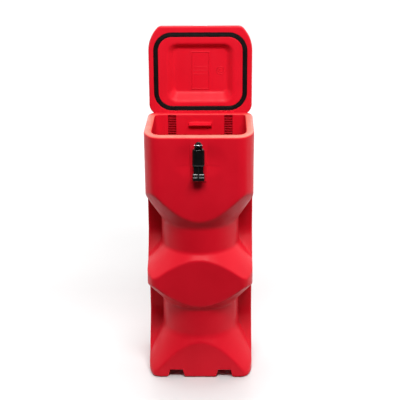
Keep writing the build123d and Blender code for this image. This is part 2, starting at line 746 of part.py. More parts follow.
def latch_bail():
    """A bent wire loop, hanging beside the lever, with a hooked end."""
    end_x = LEVER_HALF - LEVER_SIDE - BAIL_ENTRY
    hook_y = BAIL_Y - BAIL_HOOK
    foot_z = BAIL_PIVOT_Z - BAIL_LENGTH
    corners = [
        (-end_x, BAIL_Y, BAIL_PIVOT_Z),
        (-BAIL_X, BAIL_Y, BAIL_PIVOT_Z),
        (-BAIL_X, BAIL_Y, foot_z),
        (-BAIL_X, hook_y, foot_z),
        (BAIL_X, hook_y, foot_z),
        (BAIL_X, BAIL_Y, foot_z),
        (BAIL_X, BAIL_Y, BAIL_PIVOT_Z),
        (end_x, BAIL_Y, BAIL_PIVOT_Z),
    ]
    route = FilletPolyline(*corners, radius=BAIL_BEND_R)
    section = Plane(origin=route @ 0, z_dir=route % 0) * Circle(BAIL_WIRE_R)
    return sweep(section, path=route)


PIECES = {
    "body_shell": body_shell,
    "mount_inserts": mount_inserts,
    "hinge_pin_left": lambda: hinge_pin(-1.0),
    "hinge_pin_right": lambda: hinge_pin(1.0),
    "pin_cap_left": lambda: pin_cap(-1.0),
    "pin_cap_right": lambda: pin_cap(1.0),
    "latch_base": latch_base,
    "latch_rivets": latch_rivets,
    "rivet_washers": rivet_washers,
    "lever_pin": lever_pin,
    "lever_ring": lever_ring,
    "latch_lever": latch_lever,
    "latch_bail": latch_bail,
    "lid_shell": lambda: turn_open(lid_shell()),
    "lid_seal": lambda: turn_open(seal_ring(LID_LOW - SEAL_PROUD, LID_LOW + SEAL_GROOVE)),
    "vent_plug": lambda: turn_open(vent_plug()),
    "strike_plate": lambda: turn_open(strike_plate()),
    "strike_screws": lambda: turn_open(strike_screws()),
}


os.makedirs("parts", exist_ok=True)
for name, make in PIECES.items():
    export_step(make(), f"parts/{name}.step")
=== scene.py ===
"""Looks of the vehicle fire extinguisher box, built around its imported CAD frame.

The mouldings, the seal and the latch are meshed from distance fields, so that every
edge has the soft radius of a moulded part. Fields work in millimetres in the CAD frame,
with the lid closed, and meshes are in metres. The lid's pieces are turned open at the end.
"""

import json
import math

import bpy
import numpy as np
from mathutils import Matrix, Vector


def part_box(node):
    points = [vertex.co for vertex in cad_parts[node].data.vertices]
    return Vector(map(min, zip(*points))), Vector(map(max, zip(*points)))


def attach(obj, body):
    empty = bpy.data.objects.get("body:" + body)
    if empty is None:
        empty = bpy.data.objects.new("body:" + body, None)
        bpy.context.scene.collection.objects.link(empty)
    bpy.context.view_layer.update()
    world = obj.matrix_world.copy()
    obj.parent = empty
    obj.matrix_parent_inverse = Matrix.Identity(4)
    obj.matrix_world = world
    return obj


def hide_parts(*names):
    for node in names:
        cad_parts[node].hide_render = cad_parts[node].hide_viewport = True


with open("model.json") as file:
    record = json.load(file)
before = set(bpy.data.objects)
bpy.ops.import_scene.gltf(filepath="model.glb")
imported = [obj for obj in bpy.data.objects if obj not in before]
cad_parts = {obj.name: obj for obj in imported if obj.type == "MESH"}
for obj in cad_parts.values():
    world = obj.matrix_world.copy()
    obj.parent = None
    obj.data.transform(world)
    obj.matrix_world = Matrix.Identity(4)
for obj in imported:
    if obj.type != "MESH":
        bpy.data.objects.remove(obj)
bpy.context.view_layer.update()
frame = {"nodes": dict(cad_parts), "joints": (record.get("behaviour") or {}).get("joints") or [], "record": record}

MM = 0.001

# ---- sizes taken from the frame, in millimetres ----


def joint_place(name):
    joint = next(j for j in frame["joints"] if j["name"] == name)
    return [v / MM for v in joint["pos_m"]]


def corners(node):
    low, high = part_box(node)
    return [v / MM for v in low], [v / MM for v in high]


shell_high = corners("body_shell")[1]
HALF_X = shell_high[0]
HEIGHT = shell_high[2]
HINGE_Y, HINGE_Z = joint_place("lid_hinge")[1:]
LID_OPEN = next(j for j in frame["joints"] if j["name"] == "lid_hinge")["range_deg"][1]
PIN_Y, PIN_Z = joint_place("lever_hinge")[1:]
BAIL_Y, BAIL_Z = joint_place("bail_hinge")[1:]
FRONT_Y = PIN_Y + 6.5            # face of the latch pad
BACK_Y = HINGE_Y - 7.0

# ---- sizes of the shell ----
FRONT_LEAN = HEIGHT * math.tan(math.radians(1.17))
WALL = 4.5
FRONT_CORNER_R = 78.0
NOSE_Y = FRONT_Y - 19.5          # where the front corners' circles would meet a flat front
REAR_CORNER_R = 28.0
WAIST_R = 91.4
LOW_WAIST = (107.0, 180.5)
HIGH_WAIST = (322.0, 386.0)
BASE_SLOPE, MID_SLOPE, TOP_SLOPE = 1.75, 1.12, 1.57
WING_Y = 16.0
CREASE_RISE = 20.0
WING_SLOPE = 1.63
RIM = 17.5
RIM_FRONT = 21.5
RIM_REAR = 18.5
RIM_BAND = 52.0
INSERTS = [(x, z) for x in (-80.0, 80.0) for z in (150.0, HEIGHT - 160.0)]
LADDER_X, LADDER_HALF = 67.5, 9.5
LADDER_TOP, LADDER_FOOT = HEIGHT - 4.0, HEIGHT - 60.0
HINGE_X = 69.0
HINGE_HALF = 12.0
LUG_INNER = 4.9                  # fixed knuckles start this far from the hinge's middle
ARM_HALF = 4.5                   # half width of the lid's arm between them
KNUCKLE_R = 6.0
GUSSET_FOOT = HINGE_Z - 21.6
SHELF_FOOT = HINGE_Z - 27.6
STOP_GAP = 0.4

# ---- sizes of the lid ----
LID_LOW = HEIGHT + 0.5
LID_HIGH = LID_LOW + 24.0
RECESS_DEPTH = 15.0
SEAL_HALF_X = HALF_X - 12.0
SEAL_FRONT = FRONT_Y + 14.5
SEAL_BACK = BACK_Y - 12.5
SEAL_CORNER_R = 45.0
SEAL_WIDTH = 11.0
SEAL_GROOVE = 4.0
VENT_Z = (LID_LOW + SEAL_GROOVE + LID_HIGH) / 2


# ---- distance fields ----

def soft_min(a, b, k):
    """The union of two fields, with a fillet of about k."""
    h = np.clip(0.5 + 0.5 * (b - a) / k, 0.0, 1.0)
    return b + (a - b) * h - k * h * (1.0 - h)


def soft_max(a, b, k):
    """The overlap of two fields, with a round edge of about k."""
    return -soft_min(-a, -b, k)


def slab(v, low, high):
    return np.maximum(low - v, v - high)


def block(x, y, z, low, high, k=0.0):
    """A box between two corners, with edges rounded by about k."""
    a, b, c = (slab(v, lo, hi) for v, lo, hi in zip((x, y, z), low, high))
    if k == 0.0:
        return np.maximum(np.maximum(a, b), c)
    return soft_max(soft_max(a, b, k), c, k)


def convex(u, v, points):
    """A convex outline in two of the axes, its points given anticlockwise."""
    field = -1e9
    for (u0, v0), (u1, v1) in zip(points, points[1:] + points[:1]):
        length = math.hypot(u1 - u0, v1 - v0)
        edge = ((u - u0) * (v1 - v0) - (v - v0) * (u1 - u0)) / length
        field = np.maximum(field, edge)
    return field


def rounded_plan(x, y, half_x, front, back, front_r, back_r):
    """A rounded rectangle with its own corner radius at the front and the back."""
    middle, half_y = (front + back) / 2, (back - front) / 2
    radius = np.where(y < middle, front_r, back_r)
    qx = np.abs(x) - half_x + radius
    qy = np.abs(y - middle) - half_y + radius
    outside = np.hypot(np.maximum(qx, 0), np.maximum(qy, 0))
    return outside + np.minimum(np.maximum(qx, qy), 0) - radius


def axis(*stops):
    """Grid places, given as place, step, place, step ... place."""
    places = [np.linspace(start, end, max(round((end - start) / step), 1), endpoint=False)
              for start, step, end in zip(stops[0:-2:2], stops[1:-1:2], stops[2::2])]
    return np.concatenate(places + [[stops[-1]]])


def even_grid(low, high, step):
    return [axis(a - step, step, b + step) for a, b in zip(low, high)]


def surface_net(field, axes):
    """Vertices and quads of a field's zero level on a grid."""
    count = [len(a) for a in axes]
    x, y, z = np.meshgrid(*axes, indexing="ij", sparse=True)
    d = np.broadcast_to(field(x, y, z), tuple(count)).astype(np.float32)
    inside = d < 0
    shifts = [(i, j, k) for i in (0, 1) for j in (0, 1) for k in (0, 1)]
    total = np.zeros([n - 1 for n in count], np.int8)
    for i, j, k in shifts:
        total += inside[i:count[0] - 1 + i, j:count[1] - 1 + j, k:count[2] - 1 + k]
    cells = np.argwhere((total > 0) & (total < 8))
    value = {s: d[tuple((cells + s).T)] for s in shifts}
    points = np.zeros((len(cells), 3))
    hits = np.zeros(len(cells))
    for way in range(3):
        for near in (s for s in shifts if s[way] == 0):
            far = tuple(v + (1 if a == way else 0) for a, v in enumerate(near))
            crossing = (value[near] < 0) != (value[far] < 0)
            gap = np.where(crossing, value[near] - value[far], 1)
            spot = np.tile(np.array(near, float), (len(cells), 1))
            spot[:, way] += np.where(crossing, value[near] / gap, 0)
            points += spot * crossing[:, None]
            hits += crossing
    points = cells + points / hits[:, None]
    for way in range(3):
        points[:, way] = np.interp(points[:, way], np.arange(count[way]), axes[way])
    index = np.full(total.shape, -1, np.int64)
    index[tuple(cells.T)] = np.arange(len(cells))
    quads = []
    for way in range(3):
        u, v = (way + 1) % 3, (way + 2) % 3
        near = np.take(inside, range(count[way] - 1), way)
        far = np.take(inside, range(1, count[way]), way)
        for leaving in (True, False):
            edges = np.argwhere((near == leaving) & (far != leaving))
            keep = (edges[:, u] > 0) & (edges[:, v] > 0)
            keep &= (edges[:, u] < count[u] - 1) & (edges[:, v] < count[v] - 1)
            ring = []
            for du, dv in ((0, 0), (1, 0), (1, 1), (0, 1)):
                cell = edges[keep]
                cell[:, u] -= du
                cell[:, v] -= dv
                ring.append(index[tuple(cell.T)])
            quads.append(np.stack(ring if leaving else ring[::-1], 1))
    return points, np.concatenate(quads)


def slope(field, points, reach):
    """The field's gradient at each point."""
    x, y, z = points.T
    sides = [(field(x + a, y + b, z + c) - field(x - a, y - b, z - c)) / (2 * reach)
             for a, b, c in np.eye(3) * reach]
    return np.stack(sides, 1)


def settle(field, points, reach, furthest):
    """Moves points onto the zero level along the field's slope."""
    for _ in range(2):
        grade = slope(field, points, reach)
        size = np.maximum((grade ** 2).sum(1), 0.25)
        move = grade * (field(*points.T) / size)[:, None]
        length = np.maximum(np.linalg.norm(move, axis=1), 1e-9)
        points = points - move * np.minimum(1, furthest / length)[:, None]
    return points


def thinned(points, faces, share):
    """Keeps a share of the faces, and most of them where the surface curves."""
    mesh = bpy.data.meshes.new("thinning")
    mesh.from_pydata(points.tolist(), [], faces.tolist())
    holder = bpy.data.objects.new("thinning", mesh)
    bpy.context.scene.collection.objects.link(holder)
    holder.modifiers.new("thin", "DECIMATE").ratio = share
    done = holder.evaluated_get(bpy.context.evaluated_depsgraph_get()).to_mesh()
    points = np.array([v.co for v in done.vertices])
    faces = [list(p.vertices) for p in done.polygons]
    bpy.data.objects.remove(holder)
    bpy.data.meshes.remove(mesh)
    return points, faces


def turned_open(vectors, around=(0.0, HINGE_Y, HINGE_Z)):
    """Turns closed-lid places about the hinge. Directions turn about (0, 0, 0)."""
    a = math.radians(-LID_OPEN)
    y, z = vectors[:, 1] - around[1], vectors[:, 2] - around[2]
    out = vectors.copy()
    out[:, 1] = around[1] + y * math.cos(a) - z * math.sin(a)
    out[:, 2] = around[2] + y * math.sin(a) + z * math.cos(a)
    return out


def make_piece(name, points, faces, material, body, nodes, normals=None):
    """A smooth mesh object in metres that rides on a body and stands for CAD nodes."""
    mesh = bpy.data.meshes.new(name)
    mesh.from_pydata((points * MM).tolist(), [], [tuple(f) for f in faces])
    mesh.validate()
    mesh.shade_smooth()
    if normals is not None:
        mesh.normals_split_custom_set_from_vertices(normals.tolist())
    mesh.materials.append(material)
    piece = bpy.data.objects.new(name, mesh)
    bpy.context.scene.collection.objects.link(piece)
    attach(piece, body)
    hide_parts(*nodes)
    return piece


def moulded(name, field, axes, material, node, thin=1.0, copies=((0, 0, 0),), crisp=0.25):
    """Meshes a field as the stand-in for a CAD node. Copies are moved by millimetres."""
    body = BODY_OF[node]
    step = min(np.diff(axes[0]).min(), np.diff(axes[2]).min())
    points, faces = surface_net(field, axes)
    points = settle(field, points, crisp * step, step / 2)
    if thin < 1.0:
        points, faces = thinned(points, faces, thin)
        points = settle(field, points, crisp * step, step / 2)
    normals = slope(field, points, crisp * step)
    normals /= np.maximum(np.linalg.norm(normals, axis=1), 1e-9)[:, None]
    faces = [[corner + i * len(points) for corner in face] for i in range(len(copies)) for face in faces]
    points = np.concatenate([points + np.array(c) for c in copies])
    normals = np.concatenate([normals] * len(copies))
    if body == "lid":
        points = turned_open(points)
        normals = turned_open(normals, (0, 0, 0))
    return make_piece(name, points, faces, material, body, (node,), normals)


groups = frame["record"]["behaviour"]["bodies"]
BODY_OF = {node: body for body, nodes in groups.items() for node in nodes}


# ---- the moulded shell ----

def envelope(x, y, z):
    """The upright outline of the shell, with its leaning front."""
    plan = rounded_plan(x, y, HALF_X, NOSE_Y, BACK_Y, FRONT_CORNER_R, REAR_CORNER_R)
    front = FRONT_Y + FRONT_LEAN * (1 - z / HEIGHT) - y
    return soft_max(plan, front, 10.0)


def waists(x, y, z):
    """Two necks between three cones, turned about the Z axis."""
    out = np.hypot(x, y) - WAIST_R

    def cone(height, grade):
        return height / math.hypot(1, grade)

    base = cone(z - LOW_WAIST[0] + BASE_SLOPE * out, BASE_SLOPE)
    mid_under = cone(LOW_WAIST[1] + MID_SLOPE * out - z, MID_SLOPE)
    mid_top = cone(z - HIGH_WAIST[0] + MID_SLOPE * out, MID_SLOPE)
    top = cone(HIGH_WAIST[1] + TOP_SLOPE * out - z, TOP_SLOPE)
    mid = soft_max(mid_under, mid_top, 4.0)
    return soft_min(soft_min(soft_min(out, base, 5.0), mid, 4.0), top, 4.0)


def rear(y, z):
    """The full-width rear, which slopes forward above each shoulder."""
    wing = WING_Y - y + 0 * z
    middle = (LOW_WAIST[1] + HIGH_WAIST[0]) / 2
    for foot, start in ((LOW_WAIST[0], -50.0), (HIGH_WAIST[0], middle)):
        facet = z - foot - CREASE_RISE + WING_SLOPE * (WING_Y - y)
        facet = np.maximum(facet / math.hypot(1, WING_SLOPE), start - z)
        wing = soft_min(wing, facet, 8.0)
    return wing


def outer_form(x, y, z):
    return soft_max(envelope(x, y, z), soft_min(waists(x, y, z), rear(y, z), 5.0), 3.0)


def finger_hollows(x, y, z):
    """Two shallow hollows beside the latch pad."""
    reach = 160.0
    away = (np.abs(x) - 24.0) ** 2 + (y - FRONT_Y + reach - 4.0) ** 2 + (z - HEIGHT + 58.0) ** 2
    return np.sqrt(away) - reach


def latch_pad(x, y, z):
    """The upright pad under the latch, a little wider at its top."""
    half = 17.5 + 2.2 * (z - (HEIGHT - 104.0)) / 102.0
    pad = block(x, y, z, (-40, FRONT_Y, HEIGHT - 104), (40, FRONT_Y + 14, HEIGHT - 2))
    return soft_max(pad, np.abs(x) - half, 1.6)


def channel(x, z, grow):
    """The two channels under the base."""
    away = np.abs(np.abs(x) - 58.0) - 20.0 - grow
    return np.maximum(away + z / 4, z - 20.0 - grow)


def cavity(x, y, z, form):
    """The inside, from the floor to the mouth."""
    plan = rounded_plan(x, y, HALF_X - RIM, NOSE_Y + RIM, BACK_Y - RIM_REAR,
                        FRONT_CORNER_R - RIM, 12.0)
    mouth = soft_max(plan, FRONT_Y + RIM_FRONT - y, 10.0)
    band = np.maximum(0, HEIGHT - RIM_BAND - z)
    inside = soft_max(form + WALL, mouth - 1.1 * band, 4.0)
    inside = soft_max(inside, WALL - z, 6.0)
    backing = block(x, y, z, (-48, FRONT_Y + 2, HEIGHT - 110), (48, FRONT_Y + 13.5, HEIGHT - 50))
    inside = soft_max(inside, -backing, 3.0)
    for insert_x, insert_z in INSERTS:
        boss = np.hypot(x - insert_x, z - insert_z) - 9.0
        inside = soft_max(inside, -np.maximum(boss, BACK_Y - 16.0 - y), 3.0)
    return soft_max(inside, -channel(x, z, WALL), 4.0)


def ledge(x, y, z):
    """The short shelf inside the back wall."""
    wall = BACK_Y - RIM_REAR
    top = HEIGHT - 21.0
    outline = [(wall + 4, top - 16), (wall + 4, top + 1), (wall - 11, top - 3), (wall - 11, top - 6)]
    return soft_max(convex(y, z, outline), np.abs(x) - 27.0, 1.5)


def ladders(x, y, z):
    """Two columns of pockets inside the back wall, in line with the hinges."""
    wall = BACK_Y - RIM_REAR
    from_middle = np.abs(np.abs(x) - LADDER_X)
    column = np.maximum(from_middle - LADDER_HALF, slab(z, LADDER_FOOT, LADDER_TOP))
    pocket = np.abs(np.mod(HEIGHT - z, 6.0) - 3.0) - 1.8
    shallow = np.maximum(column, slab(y, wall - 3, wall + 1.5))
    deep = np.maximum(np.maximum(column, pocket), slab(y, wall - 3, wall + 5.0))
    return np.minimum(shallow, deep)


def knuckle(y, z):
    return np.hypot(y - HINGE_Y, z - HINGE_Z) - KNUCKLE_R


def fixed_hinges(x, y, z):
    """Two pairs of fixed knuckles with gussets, and the stop shelf under each pair."""
    root = BACK_Y - 1.0
    out = HINGE_Y + KNUCKLE_R
    web = [(root, HINGE_Z + KNUCKLE_R), (root, GUSSET_FOOT), (out, HINGE_Z - KNUCKLE_R),
           (out, HINGE_Z), (HINGE_Y, HINGE_Z + KNUCKLE_R)]
    lug = soft_min(convex(y, z, web), knuckle(y, z), 0.5)
    lug = soft_min(lug, soft_max(slab(y, root, HINGE_Y), slab(z, HINGE_Z, HEIGHT), 1.5), 1.5)
    from_middle = np.abs(np.abs(x) - HINGE_X)
    lug = soft_max(lug, slab(from_middle, LUG_INNER, HINGE_HALF), 1.2)
    lean = math.radians(LID_OPEN - 90)
    tip = HINGE_Y + 2 * KNUCKLE_R

    def shelf_top(at):
        return HINGE_Z - (KNUCKLE_R + STOP_GAP) / math.cos(lean) - math.tan(lean) * (at - HINGE_Y)

    shelf = [(root, shelf_top(root)), (root, SHELF_FOOT), (tip, shelf_top(tip) - 3),
             (tip, shelf_top(tip))]
    return soft_min(lug, soft_max(convex(y, z, shelf), from_middle - HINGE_HALF, 1.2), 1.0)


def shell_field(x, y, z):
    form = outer_form(x, y, z)
    outer = soft_max(form, -finger_hollows(x, y, z), 3.0)
    outer = soft_min(outer, latch_pad(x, y, z), 1.0)
    outer = soft_max(outer, z - HEIGHT, 6.0)
    outer = soft_max(outer, -z, 7.0)
    shell = soft_max(outer, -cavity(x, y, z, form), 5.0)
    shell = soft_min(shell, ledge(x, y, z), 2.0)
    shell = soft_max(shell, -ladders(x, y, z), 0.8)
    shell = soft_min(shell, fixed_hinges(x, y, z), 1.0)
    shell = soft_max(shell, -channel(x, z, 0.0), 3.0)
    for insert_x, insert_z in INSERTS:
        hole = np.hypot(x - insert_x, z - insert_z) - 7.0
        shell = np.maximum(shell, -np.maximum(hole, BACK_Y - 12.0 - y))
    return shell


# ---- the lid, closed ----

def lid_recess(x, y, z):
    """The tray-shaped recess, whose sides come in towards its floor."""
    deep = np.clip((z - LID_LOW) / RECESS_DEPTH, -0.3, 1.15)
    front = FRONT_Y + 41.5 + 12.0 * deep
    back = BACK_Y - 34.5 - 22.0 * deep
    half_x = HALF_X - 46.0 - 14.5 * deep
    radius = 24.0 - 12.0 * deep
    sides = rounded_plan(x, y, half_x, front, back, radius, radius)
    return soft_max(sides * 0.7, z - LID_LOW - RECESS_DEPTH, 3.0)


def floor_marks(x, y, z):
    """A raised frame with ruled lines and a dial, on the floor of the recess."""
    dial_x, ring_r, inner_r = 48.5, 8.9, 4.2
    frame_box = np.maximum(np.abs(x) - 22.0, np.abs(y) - 46.0)
    bars = np.abs(frame_box + 1.0) - 1.0
    lines = np.maximum(np.abs(np.mod(y + 4.5, 9.0) - 4.5) - 0.5, frame_box + 5.0)
    away = np.hypot(x - dial_x, y)
    rings = np.minimum(np.abs(away - ring_r), np.abs(away - inner_r)) - 0.6
    pointer = np.maximum(np.abs(x - dial_x) - 0.7, np.abs(y) - inner_r)
    top = LID_LOW + RECESS_DEPTH - z
    raised = soft_max(np.minimum(bars, np.minimum(rings, pointer)), top - 1.0, 0.4)
    ruled = soft_max(lines, top - 0.2, 0.4)
    return np.minimum(raised, ruled)


def lid_knuckles(x, y, z):
    """The moving knuckle of each hinge, on an arm from the lid's rear edge."""
    out = HINGE_Y + KNUCKLE_R
    arm = [(BACK_Y + 1, HINGE_Z), (out, HINGE_Z), (out, LID_LOW + 6), (BACK_Y + 1, LID_LOW + 15.6)]
    root = [(BACK_Y - 3, LID_LOW + 2), (BACK_Y + 4, LID_LOW + 2), (BACK_Y + 4, LID_LOW + 13),
            (BACK_Y - 3, LID_LOW + 18)]
    lug = soft_min(convex(y, z, arm), convex(y, z, root), 1.5)
    lug = soft_min(lug, knuckle(y, z), 0.5)
    return soft_max(lug, np.abs(np.abs(x) - HINGE_X) - ARM_HALF, 1.0)


def lid_field(x, y, z):
    plan = rounded_plan(x, y, HALF_X, NOSE_Y, BACK_Y, FRONT_CORNER_R, REAR_CORNER_R)
    lid = soft_max(plan, FRONT_Y - y, 5.0)
    lid = soft_max(lid, z - LID_HIGH, 9.0)
    lid = soft_max(lid, LID_LOW - z, 4.0)
    lid = soft_max(lid, -lid_recess(x, y, z), 3.5)
    lid = soft_min(lid, np.maximum(floor_marks(x, y, z), z - LID_LOW - RECESS_DEPTH - 2), 0.5)
    seat = rounded_plan(x, y, SEAL_HALF_X, SEAL_FRONT, SEAL_BACK, SEAL_CORNER_R, SEAL_CORNER_R)
    groove = np.maximum(np.abs(seat + SEAL_WIDTH / 2) - SEAL_WIDTH / 2, z - LID_LOW - SEAL_GROOVE)
    lid = soft_max(lid, -groove, 1.0)
    pocket = block(x, y, z, (-16, FRONT_Y - 4, LID_LOW + 3), (16, FRONT_Y + 9, LID_LOW + 19))
    return soft_min(soft_max(lid, -pocket, 2.0), lid_knuckles(x, y, z), 1.5)


def seal_piece(material):
    """The seal: one ribbed section led round a rounded rectangle."""
    mid_r = SEAL_CORNER_R - SEAL_WIDTH / 2
    centre_x = SEAL_HALF_X - SEAL_CORNER_R
    centre_front, centre_back = SEAL_FRONT + SEAL_CORNER_R, SEAL_BACK - SEAL_CORNER_R
    track = []
    turns = ((centre_x, centre_back, 0), (-centre_x, centre_back, 90),
             (-centre_x, centre_front, 180), (centre_x, centre_front, 270))
    for index, (cx, cy, start) in enumerate(turns):
        for a in np.radians(start + np.linspace(0, 90, 33)):
            way = (math.cos(a), math.sin(a))
            track.append((cx + mid_r * way[0], cy + mid_r * way[1], *way))
        nx, ny = turns[(index + 1) % 4][:2]
        a = math.radians(start + 90)
        begin = np.array((cx + mid_r * math.cos(a), cy + mid_r * math.sin(a)))
        end = np.array((nx + mid_r * math.cos(a), ny + mid_r * math.sin(a)))
        for t in np.linspace(0, 1, 26)[1:-1]:
            spot = begin + t * (end - begin)
            track.append((*spot, math.cos(a), math.sin(a)))
    half = SEAL_WIDTH / 2 - 0.05
    across = np.linspace(-1, 1, 41)
    ribs = 0.22 * (1 - np.cos(across * 3 * math.pi)) * (np.abs(across) < 0.9)
    top = LID_LOW - 0.3 + 1.6 * np.abs(across) ** 6 + ribs
    root = LID_LOW + SEAL_GROOVE
    section = [(-half, root)] + list(zip(across * half, top)) + [(half, root)]
    points = np.array([(px + u * nx, py + u * ny, w) for px, py, nx, ny in track for u, w in section])
    size = len(section)
    faces = []
    for i in range(len(track)):
        j = (i + 1) % len(track)
        for k in range(size):
            n = (k + 1) % size
            faces.append((i * size + k, j * size + k, j * size + n, i * size + n))
    return make_piece("seal_bead", turned_open(points), faces, material, "lid",
                      ("lid_seal",))


def vent_field(x, y, z):
    """The plug's domed head and stem."""
    away = np.hypot(x, z - VENT_Z)
    dome = np.sqrt(away ** 2 + (y - BACK_Y + 10.2) ** 2) - 11.4
    head = np.maximum(soft_max(away - 5.1, dome, 0.6), BACK_Y - y)
    return np.minimum(head, np.maximum(away - 3.0, slab(y, BACK_Y - 8, BACK_Y + 0.2)))


# ---- the latch ----

PLATE_Y = (FRONT_Y - 2.5, FRONT_Y)
WEB_OUT = FRONT_Y - 10.5
WEB_IN = WEB_OUT + 2.0
LEVER_FOOT = PIN_Z - 80.0
LIP_TOP = LEVER_FOOT + 15.0
LIP_OUT = 10.0
WEB_HALF, CHEEK_IN = 10.6, 8.8
ARM_IN, ARM_OUT = 5.6, 7.6
LIP_HALF = 13.3


def latch_base_field(x, y, z):
    """The riveted plate with a round head and two ears for the lever's pin."""
    plate = soft_min(np.maximum(np.abs(x) - 8.4, slab(z, PIN_Z - 79, PIN_Z - 2)),
                     np.hypot(x, z - PIN_Z) - 7.6, 1.0)
    plate = soft_max(plate, slab(y, *PLATE_Y), 0.9)
    ear = soft_min(np.hypot(y - PIN_Y, z - PIN_Z) - 5.0,
                   block(x, y, z, (-9, PIN_Y, PIN_Z - 7.6), (9, FRONT_Y, PIN_Z + 5)), 0.6)
    ears = soft_max(ear, slab(np.abs(x), 3.4, 5.3), 0.7)
    return soft_min(plate, ears, 1.2)


def lever_field(x, y, z):
    """A moulded channel with pivot arms, a finger lip and a rib."""
    side_in = PLATE_Y[0] - 0.4
    web = block(x, y, z, (-WEB_HALF, WEB_OUT, LEVER_FOOT), (WEB_HALF, WEB_IN, PIN_Z - 9), 1.6)
    cheek_high = (WEB_HALF, side_in, PIN_Z - 8.2)
    cheek = block(np.abs(x), y, z, (CHEEK_IN, WEB_OUT, LEVER_FOOT), cheek_high, 1.0)
    top = np.hypot(y - side_in + 3.2, z - PIN_Z + 8.2) - 3.2
    top = soft_max(top, slab(np.abs(x), CHEEK_IN, WEB_HALF), 0.8)
    lever = soft_min(soft_min(web, cheek, 1.5), top, 0.5)
    arm = block(np.abs(x), y, z, (ARM_IN, WEB_OUT, PIN_Z - 17), (ARM_OUT, PIN_Y + 1.9, PIN_Z), 0.8)
    eye = soft_max(np.hypot(y - PIN_Y, z - PIN_Z) - 3.7, slab(np.abs(x), ARM_IN, ARM_OUT), 0.8)
    lever = soft_min(lever, soft_min(arm, eye, 0.5), 1.2)
    lip = [(WEB_IN, LEVER_FOOT), (WEB_IN, LIP_TOP), (WEB_OUT - LIP_OUT, LIP_TOP - 5),
           (WEB_OUT - LIP_OUT, LEVER_FOOT + 2), (WEB_OUT, LEVER_FOOT)]
    lip = soft_max(convex(y, z, lip), np.abs(x) - LIP_HALF, 1.5)
    lever = soft_min(lever, soft_max(lip, WEB_OUT - LIP_OUT + 0.3 - y, 2.5), 5.0)
    rib = [(WEB_IN, LIP_TOP), (WEB_IN, LIP_TOP + 18), (WEB_OUT, LIP_TOP + 18),
           (WEB_OUT - LIP_OUT, LIP_TOP - 5)]
    lever = soft_min(lever, soft_max(convex(y, z, rib), np.abs(x) - 1.0, 0.8), 1.5)
    limit_high = (LIP_HALF, PIN_Y + 3.7, PIN_Z + 3.7)
    limit = block(x, y, z, (-LIP_HALF, WEB_OUT - LIP_OUT, LEVER_FOOT), limit_high)
    bore = np.hypot(y - PIN_Y, z - PIN_Z) - 2.45
    hole = np.hypot(y - BAIL_Y, z - BAIL_Z) - 1.25
    return np.maximum(np.maximum(np.maximum(lever, limit), -bore), -hole)


def rivet_field(x, y, z):
    """Two rivets with domed heads, one through the rim's band and one below it."""
    field = 1e9
    for drop, wall_y in ((38.0, FRONT_Y + RIM_FRONT), (82.0, FRONT_Y + 13.5)):
        away = np.hypot(x, z - HEIGHT + drop)
        back = wall_y + 1.2
        field = np.minimum(field, np.maximum(away - 2.4, slab(y, PLATE_Y[0], back)))
        for face, way in ((PLATE_Y[0], -1), (back, 1)):
            out = (y - face) * way
            dome = np.hypot(away, out + 5.6) - 7.0
            field = np.minimum(field, np.maximum(soft_max(away - 4.2, dome, 0.4), -out))
    return field


def bail_piece(material):
    """A bent wire loop with rounded corners, hanging beside the lever."""
    eye_x, leg_x, hook, bend, wire = 7.8, 12.15, 8.0, 3.0, 1.2
    foot = corners("latch_bail")[0][2] + wire
    route = [(-eye_x, BAIL_Y, BAIL_Z), (-leg_x, BAIL_Y, BAIL_Z), (-leg_x, BAIL_Y, foot),
             (-leg_x, BAIL_Y - hook, foot), (leg_x, BAIL_Y - hook, foot), (leg_x, BAIL_Y, foot),
             (leg_x, BAIL_Y, BAIL_Z), (eye_x, BAIL_Y, BAIL_Z)]
    path = [np.array(route[0])]
    for before, corner, after in zip(route, route[1:], route[2:]):
        before, corner, after = (np.array(p, float) for p in (before, corner, after))
        into, away = corner - before, after - corner
        reach = min(bend, np.linalg.norm(into) / 2, np.linalg.norm(away) / 2)
        start = corner - into / np.linalg.norm(into) * reach
        end = corner + away / np.linalg.norm(away) * reach
        for t in np.linspace(0, 1, 9):
            path.append((1 - t) ** 2 * start + 2 * t * (1 - t) * corner + t ** 2 * end)
    path.append(np.array(route[-1]))
    path = np.array(path)
    ahead = np.gradient(path, axis=0)
    ahead /= np.linalg.norm(ahead, axis=1)[:, None]
    side = np.array((0.0, 0.0, 1.0))
    points, ring = [], 16
    for spot, way in zip(path, ahead):
        side = side - way * side.dot(way)
        side /= np.linalg.norm(side)
        other = np.cross(way, side)
        for a in np.linspace(0, 2 * math.pi, ring, endpoint=False):
            points.append(spot + wire * (math.cos(a) * side + math.sin(a) * other))
    faces = []
    for start in range(0, (len(path) - 1) * ring, ring):
        for k in range(ring):
            n = (k + 1) % ring
            faces.append((start + k, start + n, start + ring + n, start + ring + k))
    faces += [tuple(range(ring))[::-1], tuple((len(path) - 1) * ring + k for k in range(ring))]
    return make_piece("bail_wire", np.array(points), faces, material, "bail",
                      ("latch_bail",))


def strike_field(x, y, z):
    """The L-shaped plate in the lid's pocket."""
    low = LID_LOW + 3.0
    upright = block(x, y, z, (-14.5, FRONT_Y + 7.5, low), (14.5, FRONT_Y + 9, low + 15), 0.5)
    foot = block(x, y, z, (-14.5, FRONT_Y + 1, low), (14.5, FRONT_Y + 9, low + 1.5), 0.5)
    return soft_min(upright, foot, 1.0)


